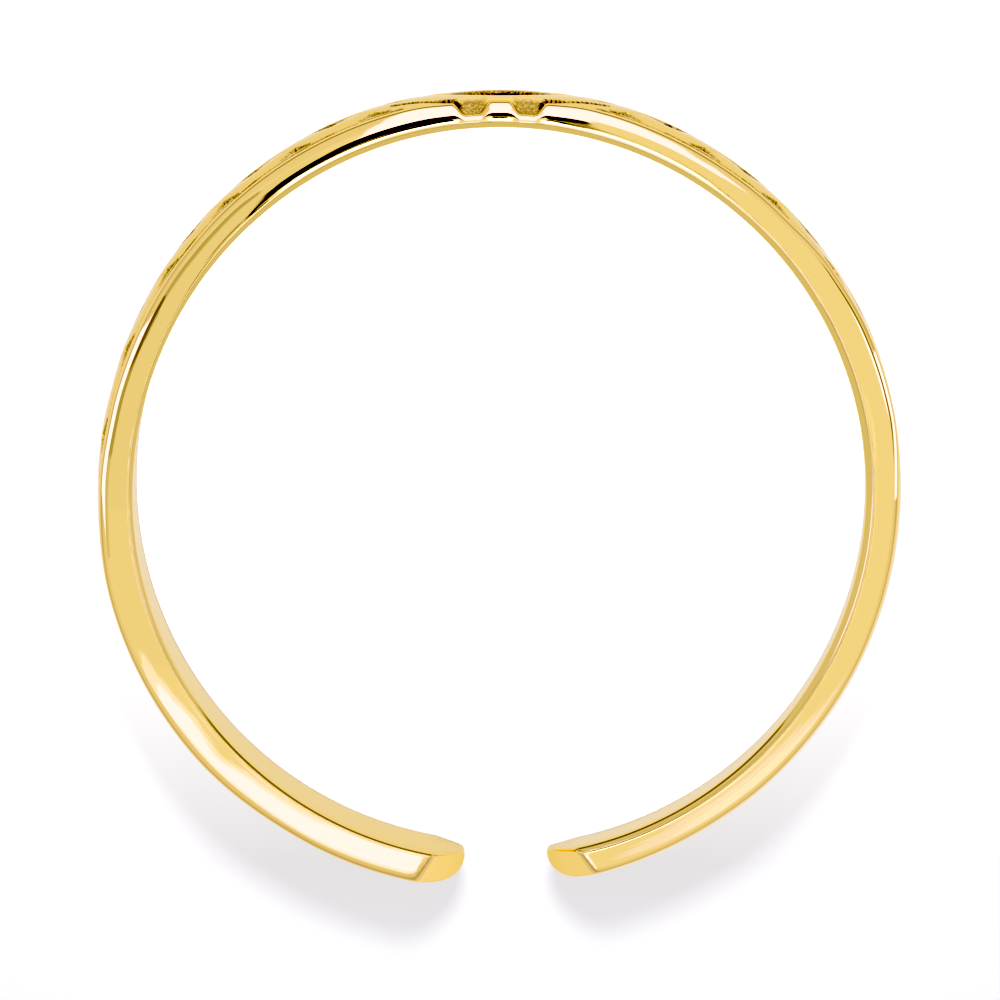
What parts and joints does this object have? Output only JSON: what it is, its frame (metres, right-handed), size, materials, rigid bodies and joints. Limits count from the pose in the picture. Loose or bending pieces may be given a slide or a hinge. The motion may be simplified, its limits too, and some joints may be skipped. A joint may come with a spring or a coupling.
{
  "type": "toe ring",
  "caption": "Open springy toe ring: a polished yellow-gold band with a cast braid and scalloped rims on its front half, open at the back.",
  "frame": {"origin": "centre of the ring on the surface that it lies on, at the middle of its lower edge's outline", "axes": "+Z along the ring's axis, up from the edge that it rests on; +Y towards the middle of the braid, the top of the ring as the picture shows it; the gap is at -Y; +X is the picture's right"},
  "size_m": [0.0156, 0.0155, 0.003],
  "materials": {
    "polished_gold": "polished yellow gold, with matt grained recesses between the strands of the braid"
  },
  "bodies": {
    "root": {"band": "polished_gold"}
  },
  "joints": []
}
